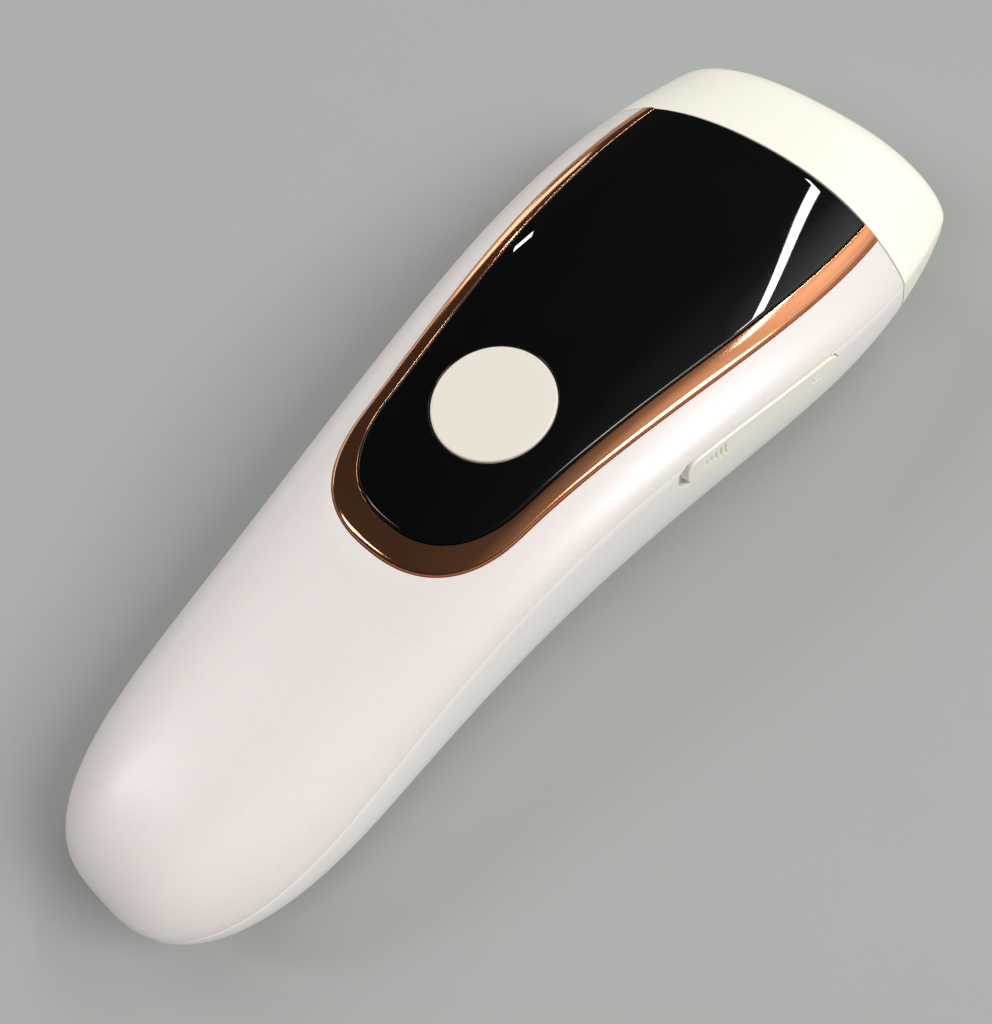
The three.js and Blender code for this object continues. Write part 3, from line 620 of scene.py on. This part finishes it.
# Rings round the whole section, from the head seam to the nose, following topAt and bottomAt.
def makeHeadShell():
    turn = np.linspace(0, 2 * math.pi, head["across"], endpoint=False)[None, :]
    c = np.sign(np.cos(turn)) * np.abs(np.cos(turn)) ** 0.8
    upper = np.sin(turn) >= 0
    noseStart = body["length"] - body["front"][0]

    def points(y):
        x = outlineAt(y) * c
        return x, np.where(upper, topAt(x, y), bottomAt(x, y, eased=False))

    start = np.full_like(c, headSeam["side"])
    for _ in range(10):
        x, z = points(start)
        start = headSeamAt(x, z) + body["halfGap"]
    sideY = start + (noseStart - start) * np.linspace(0, 1, head["along"])[:, None]
    quarter = np.linspace(0, 1, head["noseRows"])[1:, None] * math.pi / 2
    noseY = noseStart + body["front"][0] * np.sin(quarter) ** (2 / body["front"][1])
    y = np.concatenate([sideY, np.repeat(noseY, c.shape[1], 1)])
    x, z = points(y)
    shell = surface("head_skin", np.stack([x, y, z], -1), wrapColumns=True)
    thicken(shell, body["wall"], facesInwards(shell))
    roundEdges(shell, shells["edge"])
    width, height, radius, z = head["mouth"]
    mouth = roundedPrism("mouth_cutter", width, height, radius, z, *head["mouthFrom"])
    width, height, radius, z = head["tube"]
    tube = plateAlongY("head_tube", width, height, radius, z, head["tubeStations"])
    thin = 2 * head["tubeWall"]
    bore = roundedPrism("bore_cutter", width - thin, height - thin, radius - 1, z, *head["boreFrom"])
    weld(shell, makeHeadWeb(points(start)), tube)
    cut(shell, bore, mouth)
    return place(shell, "lamp_head", "cream", ["lamp_head_shell"])


# Outline of a rounded rectangle, (count, 2), anticlockwise.
def roundedRectangle(width, height, radius, corner=10):
    turns = np.linspace(0, math.pi / 2, corner)
    centres = [(1, 1), (-1, 1), (-1, -1), (1, -1)]
    parts = []
    for k, (sx, sz) in enumerate(centres):
        angle = turns + k * math.pi / 2
        middle = np.array([sx * (width / 2 - radius), sz * (height / 2 - radius)])
        parts.append(middle + radius * np.stack([np.cos(angle), np.sin(angle)], -1))
    return np.concatenate(parts)


# Rings of the same outline along Y, each with its own inset, closed by collapsing the end rings.
def plateAlongY(name, width, height, radius, z, stations):
    rings = []
    for y, inset in stations:
        outline = roundedRectangle(width - 2 * inset, height - 2 * inset, max(radius - inset, 0.05))
        rings.append(np.stack([outline[:, 0], np.full(len(outline), y), outline[:, 1] + z], -1))
    return surface(name, closedEnds(np.stack(rings)), wrapColumns=True)


def closedEnds(rings):
    first = np.repeat(rings[0].mean(0)[None], rings.shape[1], 0)
    last = np.repeat(rings[-1].mean(0)[None], rings.shape[1], 0)
    return np.concatenate([first[None], rings, last[None]])


def roundedPrism(name, width, height, radius, z, fromY, toY):
    return plateAlongY(name, width, height, radius, z, [(fromY, 0.0), (toY, 0.0)])


trim = {
    "gap": 0.1,
    "foot": -1.8,
    "rollWidth": 0.95,
    "rollHeight": 0.42,
    "lip": 0.16,            # fine rounding beside the panel
    "crown": 0.10,          # how far the broad face swells
    "crest": 0.40,
    "lipRise": 0.04,        # how much higher the lip stands than the crest
    "roundSteps": 100,
    "armSteps": 150,
}


# A profile carried along the U: an elliptical roll up from the cover, a broad faintly convex face
# (crest + crown * 2s(1-s) + lipRise * s) and a fine rounded lip beside the panel.
def makeTrim():
    n, m = trim["roundSteps"], trim["armSteps"]
    outer = bothSides(outlineHalfPath(trimOutline, -trim["gap"], n, m, -body["halfGap"], ease=1.0))
    inner = bothSides(outlineHalfPath(panelOutline, 0.02, n, m, -body["halfGap"], ease=1.0))
    across = inner - outer
    width = np.linalg.norm(across, axis=1, keepdims=True)
    across = across / width
    rollWidth, rollHeight, lip = trim["rollWidth"], trim["rollHeight"], trim["lip"]
    profile = [(0 * width, trim["foot"])]
    for angle in np.linspace(0, math.pi / 2, 14):
        profile.append((rollWidth * (1 - math.cos(angle)) + 0 * width, -0.02 + rollHeight * math.sin(angle)))
    for s in np.linspace(0, 1, 14)[1:]:
        rise = trim["crest"] + trim["crown"] * 2 * s * (1 - s) + trim["lipRise"] * s
        profile.append((rollWidth + (width - lip - rollWidth) * s, rise))
    for angle in np.linspace(0, math.pi / 2, 6)[1:]:
        height = trim["crest"] + trim["lipRise"] - lip * (1 - math.cos(angle))
        profile.append((width - lip + lip * math.sin(angle), height))
    profile.append((width + 0, trim["foot"]))
    columns = []
    for distance, height in profile:
        plan = outer + across * distance
        columns.append(np.stack([plan[:, 0], plan[:, 1], topAt(plan[:, 0], plan[:, 1]) + height], -1))
    thing = surface("trim_ring", closedEnds(np.stack(columns, 1)), wrapColumns=True)
    return place(thing, "handle", "rose_gold", ["trim_bezel"], sharp=40)


button = {"y": 97.8, "radius": 10.55, "gap": 0.16, "sunk": 0.14, "edge": 0.35, "rim": 1.4}
panel = {"roll": 0.55, "lip": 0.16, "foot": -1.7, "frontSteps": 90, "columns": 44}


# The panel is ruled in plan between the button's hole and its own outline, with both edges rounded over.
def makePanel():
    half = outlineHalfPath(panelOutline, -0.10, 70, 110, -body["halfGap"], lift=panelRise, ease=1.0)
    edge = bothSides(half)
    corner = edge[-1, 0]
    frontX = np.linspace(corner, -corner, panel["frontSteps"])[1:-1]
    frontY = np.full_like(frontX, headSeam["side"])
    for _ in range(6):
        frontY = headSeamAt(frontX, topAt(frontX, frontY) + panelRise) - body["halfGap"]
    edge = np.concatenate([edge, np.stack([frontX, frontY], -1)])
    centre = np.array([0.0, button["y"]])
    ray = edge - centre
    reach = np.linalg.norm(ray, axis=1, keepdims=True)
    ray = ray / reach
    hole = button["radius"] + button["gap"]
    roll, lip, foot = panel["roll"], panel["lip"], panel["foot"]
    fromEdge = roll * (1 - np.cos(np.linspace(0, 1, 9) * math.pi / 2))
    fromHole = lip * (1 - np.cos(np.linspace(0, 1, 5) * math.pi / 2))
    middle = np.linspace(0, 1, panel["columns"])[1:-1] ** 0.85
    columns = [(hole + 0 * reach, foot)]
    columns += [(hole + d + 0 * reach, math.sqrt(max(0, lip ** 2 - (lip - d) ** 2)) - lip) for d in fromHole]
    columns += [(hole + lip + (reach - roll - hole - lip) * s, 0.0) for s in middle]
    columns += [(reach - d, math.sqrt(max(0, roll ** 2 - (roll - d) ** 2)) - roll) for d in fromEdge[::-1]]
    columns += [(reach + 0, foot)]
    points = []
    for distance, drop in columns:
        plan = centre + ray * distance
        z = topAt(plan[:, 0], np.minimum(plan[:, 1], furthest)) + panelRise + drop - body["halfGap"]
        points.append(np.stack([plan[:, 0], plan[:, 1], z], -1))
    thing = surface("panel_glass", np.stack(points, 1), wrapRows=True, wrapColumns=True)
    return place(thing, "handle", "piano_black", ["display_panel"], sharp=50)


# A profile (radius, height) turned round the vertical axis, then tilted and moved.
# With a lift, nothing reaches lower than the lower shell's outer face plus that lift.
def turned(name, profile, place_, tilt=0.0, steps=128, lift=None):
    profile = np.array(profile, float)
    angle = np.linspace(0, 2 * math.pi, steps, endpoint=False)[:, None]
    x, y = profile[:, 0] * np.cos(angle), profile[:, 0] * np.sin(angle)
    z = np.repeat(profile[None, :, 1], steps, 0)
    turnedY = y * math.cos(tilt) - z * math.sin(tilt)
    turnedZ = y * math.sin(tilt) + z * math.cos(tilt)
    x, y, z = x + place_[0], turnedY + place_[1], turnedZ + place_[2]
    if lift is not None:
        z = np.maximum(z, bottomAt(x, y) + lift)
    return surface(name, np.stack([x, y, z], -1), wrapRows=True)


def makeButton():
    slope = math.atan(float(topAt(0, button["y"] + 1) - topAt(0, button["y"] - 1)) / 2)
    top = float(topAt(0, button["y"])) - body["halfGap"] + panelRise - button["sunk"]
    radius = button["radius"] - 0.04
    roll = np.linspace(0, math.pi / 2, 9)
    soft, rim = button["edge"], radius + button["rim"]
    edge = [(radius - soft + soft * math.sin(a), -0.27 + soft * math.cos(a)) for a in roll]
    face = [(radius * s, 0.10 - 0.02 * s ** 2) for s in np.linspace(0, 0.955, 14)]
    skirt = [(radius, -3.0), (rim, -3.1), (rim, -4.1), (3.0, -4.1), (3.0, -5.8), (0, -5.8)]
    thing = turned("button_cap", face + edge + skirt, (0, button["y"], top), slope)
    return place(thing, "flash_button", "button_cream", ["flash_button"], slot="cream")


slide = {
    "rear": 110.6,
    "front": 144.6,
    "height": 6.6,
    "below": 0.25,        # under the seam
    "proud": 0.38,
    "back": 1.2,          # inner face, below the side wall's surface
    "rearGap": 1.5,       # travel plus clearance behind it
    "clearance": 0.3,
    "rounding": 0.3,
    "endSteps": 26,
    "middleSteps": 290,
    "columns": 64,
    "grips": [(3.9, 1.4), (4.93, 1.8), (5.96, 2.3), (6.99, 2.8), (8.02, 3.2)],    # (from the rear, height)
    "gripDepth": 0.36,
    "padlock": (28.4, 0.35, 0.8, 0.12),      # (from the rear, above the middle, radius, depth)
    "neck": (128.0, 9.0, 3.0, 14.0, 5.0),    # (y, length, height, flange length, flange height)
    "neckDepth": 3.2,
    "flangeDepth": 4.4,
    "neckMiddle": 2.8,       # their middles, inwards from the side wall's widest line
    "flangeMiddle": 6.0,
}


def slideMiddle(y):
    return seamAt(y) - slide["below"] - slide["height"] / 2


# Short grip grooves across the rear and an open padlock sign near the front, as depths below the face.
def slideRelief(y, across):
    from_ = y - slide["rear"]
    depth = np.zeros(np.broadcast(y, across).shape)
    for start, height in slide["grips"]:
        cutAcross = np.clip(1.5 - np.abs(from_ - start) / 0.13, 0, 1)
        cutAlong = np.clip((height / 2 - np.abs(across - 0.35)) / 0.22, 0, 1)
        depth = np.maximum(depth, slide["gripDepth"] * cutAcross * cutAlong)
    at, above, radius, sunk = slide["padlock"]
    u, w = from_ - at, across - above
    ring = np.abs(np.hypot(u - radius * 0.9, w - radius * 0.15) - radius * 0.75)
    bow = np.clip(1.7 - ring / 0.11, 0, 1) * (u > radius * 0.75)
    box = np.maximum(np.abs(u), np.abs(w) - radius * 0.25)
    case = np.clip(1.7 - np.abs(box - radius * 0.72) / 0.11, 0, 1)
    return np.maximum(depth, sunk * np.maximum(bow, case))


# Rows along the slide, each a closed loop: outer face, then the inner face back again.
# Outer face: side wall + proud, rounded over near the outline. The outline's ends are superellipses.
def slideSkin(name, grow, longer, outside, inside, rounding, relief):
    half = slide["height"] / 2 + grow
    rear, front = slide["rear"] - grow - longer, slide["front"] + grow
    turn = np.linspace(0, math.pi / 2, slide["endSteps"])
    reach = half * (1 - np.cos(turn) ** (2 / 2.6))
    tall = half * np.sin(turn) ** (2 / 2.6)
    straight = np.linspace(rear + half, front - half, slide["middleSteps"])[1:-1]
    y = np.concatenate([rear + reach, straight, (front - reach)[::-1]])[:, None]
    h = np.concatenate([tall, np.full(len(straight), half), tall[::-1]])[:, None]
    v = np.sin(np.linspace(-1, 1, slide["columns"]) * math.pi / 2)[None, :]
    z = slideMiddle(y) + v * h
    toEdge = np.minimum((1 - np.abs(v)) * h, np.minimum(y - rear, front - y))
    bend = 1 - np.clip(toEdge / rounding, 0, 1) if rounding else np.zeros_like(z)
    face = outside - rounding * (1 - np.sqrt(np.clip(1 - bend ** 2, 0, 1)))
    if relief:
        face = face - slideRelief(y, v * h)
    wall = sideAt(y, z)
    y = np.broadcast_to(y, z.shape)
    outer = np.stack([wall + face, y, z], -1)
    inner = np.stack([wall - inside, y, z], -1)[:, ::-1]
    return surface(name, closedEnds(np.concatenate([outer, inner], 1)), wrapColumns=True)


def roundedBlock(name, size, centre, radius):
    width, depth, height = size
    x, y, z = centre
    outline = roundedRectangle(depth, height, radius, 5)
    rings = []
    for step, inset in [(-0.5, radius), (-0.5 + radius / width, 0), (0.5 - radius / width, 0), (0.5, radius)]:
        scale = np.array([1 - 2 * inset / depth, 1 - 2 * inset / height])
        ring = outline * scale
        rings.append(np.stack([np.full(len(ring), x + step * width), y + ring[:, 0], z + ring[:, 1]], -1))
    return surface(name, closedEnds(np.stack(rings)), wrapColumns=True)


def weld(thing, *others):
    for other in others:
        boolean = thing.modifiers.new("weld", "BOOLEAN")
        boolean.operation = "UNION"
        boolean.solver = "MANIFOLD"
        boolean.object = other
        settle(thing)
        bpy.data.objects.remove(other)


def makeSlide():
    tab = slideSkin("slide_tab", 0, 0, slide["proud"], slide["back"], slide["rounding"], True)
    y, length, height, flangeLength, flangeHeight = slide["neck"]
    x, z = float(halfAt(y)), float(slideMiddle(y))
    neck = roundedBlock("slide_neck", (slide["neckDepth"], length, height),
                        (x - slide["neckMiddle"], y, z), 0.3)
    flange = roundedBlock("slide_flange", (slide["flangeDepth"], flangeLength, flangeHeight),
                          (x - slide["flangeMiddle"], y, z), 0.4)
    weld(tab, neck, flange)
    return place(tab, "lock_slide", "cream", ["lamp_lock_slide"], sharp=40)


fittings = {
    "jack": (12.2, 3.9),                     # height and radius of its hole
    "grille": (122.0, 34.0, 17.0, 4.0),      # y, length, width, corner radius
    "screws": [(-14, 30), (14, 30), (-20, 145), (20, 145)],
    "screwHead": (3.1, 6.6),                 # recess radius and height of its roof
    "boss": (3.8, 1.4, 12.0),                # outer and bore radius, top
}


# A stadium or rounded rectangle outline in plan, extruded between two heights with insets.
def plateAlongZ(name, width, length, radius, centre, stations):
    rings = []
    for z, inset in stations:
        outline = roundedRectangle(width - 2 * inset, length - 2 * inset, max(radius - inset, 0.05))
        x, y = outline[:, 0] + centre[0], outline[:, 1] + centre[1]
        rings.append(np.stack([x, y, np.full(len(outline), z)], -1))
    return surface(name, closedEnds(np.stack(rings)), wrapColumns=True)


# A profile (radius, station) turned round an axis along Y.
def turnedAlongY(name, profile, x, z, steps=96):
    profile = np.array(profile, float)
    angle = np.linspace(0, 2 * math.pi, steps, endpoint=False)[:, None]
    points = np.stack([x + profile[:, 0] * np.cos(angle), np.repeat(profile[None, :, 1], steps, 0),
                       z + profile[:, 0] * np.sin(angle)], -1)
    return surface(name, points, wrapRows=True)


def openShell(shell):
    z, radius = fittings["jack"]
    jack = turnedAlongY("jack_cutter", [(0, -6), (radius, -6), (radius, 14), (0, 14)], 0, z)
    y, length, width, corner = fittings["grille"]
    clear = slide["clearance"]
    grille = plateAlongZ("grille_cutter", width + 2 * clear, length + 2 * clear, corner + clear, (0, y),
                         [(-4, 0), (9, 0)])
    pocket = slideSkin("pocket_cutter", clear, slide["rearGap"], 3.0, 1.5, 0, False)
    y, length, height, _, _ = slide["neck"]
    slot = roundedBlock("slot_cutter", (9, length + 1.8, height + 0.6), (float(halfAt(y)) - 2, y - 0.6,
                                                                       float(slideMiddle(y))), 0.3)
    cut(shell, jack, grille, pocket, slot)
    headRadius, roof = fittings["screwHead"]
    outer, bore, top = fittings["boss"]
    for x, y in fittings["screws"]:
        recess = turned("recess_cutter", [(0, -4), (headRadius, -4), (headRadius, roof), (0, roof)],
                        (x, y, 0), steps=48)
        boss = turned("boss", [(headRadius, 1.0), (outer, 1.0), (outer, top), (bore, top), (bore, roof),
                               (headRadius, roof), (headRadius, 1.0)], (x, y, 0), steps=48, lift=0.5)
        cut(shell, recess)
        weld(shell, boss)
    return place(shell, "handle", "shell_white", ["bottom_shell"])


made = [makeTopCover(), openShell(makeBottomShell()), makeHeadShell(), makeTrim(), makePanel(), makeButton(),
        makeSlide()]
print("outer pieces made,", sum(len(thing.data.polygons) for thing in made), "faces")


record = frame["record"]
bodyOf = {node: name for name, members in record["behaviour"]["bodies"].items() for node in members}
slotOf = {part["node"]: part["material_slot"] for part in record["subparts"]}


# A mechanical node's own shape, its facets merged and its edges rounded.
def refined(node, edge, sharp=35):
    mesh = nodes[node].data.copy()
    mesh.name = node + "_fine"
    thing = bpy.data.objects.new(node + "_fine", mesh)
    bpy.context.scene.collection.objects.link(thing)
    edit = bmesh.new()
    edit.from_mesh(mesh)
    bmesh.ops.remove_doubles(edit, verts=edit.verts, dist=1e-6)
    bmesh.ops.dissolve_limit(edit, angle_limit=math.radians(1.0), verts=edit.verts, edges=edit.edges)
    edit.to_mesh(mesh)
    edit.free()
    roundEdges(thing, edge, angle=30)
    return place(thing, bodyOf[node], slotOf[node], [node], sharp, slotOf[node])


edges = {   # rounding in millimetres of the edges of each mechanical node
    "window_frame": 0.25,
    "filter_glass": 0.15,
    "head_bulkhead": 0.2,
    "lamp_socket": 0.4,
    "lamp_holder": 0.25,
    "reflector": 0.05,
    "terminal_block": 0.4,
    "intake_grille": 0.2,
    "fan_frame": 0.2,
    "fan_rotor": 0.1,
    "power_board": 0.1,
    "control_board": 0.1,
    "transformer_core": 0.3,
    "transformer_winding": 0.6,
    "led_display": 0.25,
    "tact_switch": 0.15,
}
for node, edge in edges.items():
    refined(node, edge)
for node, thing in nodes.items():
    if not thing.hide_render:
        thing.data.materials.clear()
        thing.data.materials.append(finishes[slotOf[node]])
print("inner pieces finished")


# A wide plain sheet under everything.
def makeFloor(size):
    data = bpy.data.meshes.new("floor")
    half = size / 2
    corners = [(-half, -half, 0), (half, -half, 0), (half, half, 0), (-half, half, 0)]
    data.from_pydata(corners, [], [(0, 1, 2, 3)])
    thing = bpy.data.objects.new("floor", data)
    bpy.context.scene.collection.objects.link(thing)
    thing.location.z = -0.00005
    data.materials.append(moulded("floor_paper", (0.372, 0.381, 0.370), (0.366, 0.375, 0.364), 0.75, 900.0,
                                  0.00001))


makeFloor(studio["floorSize"])
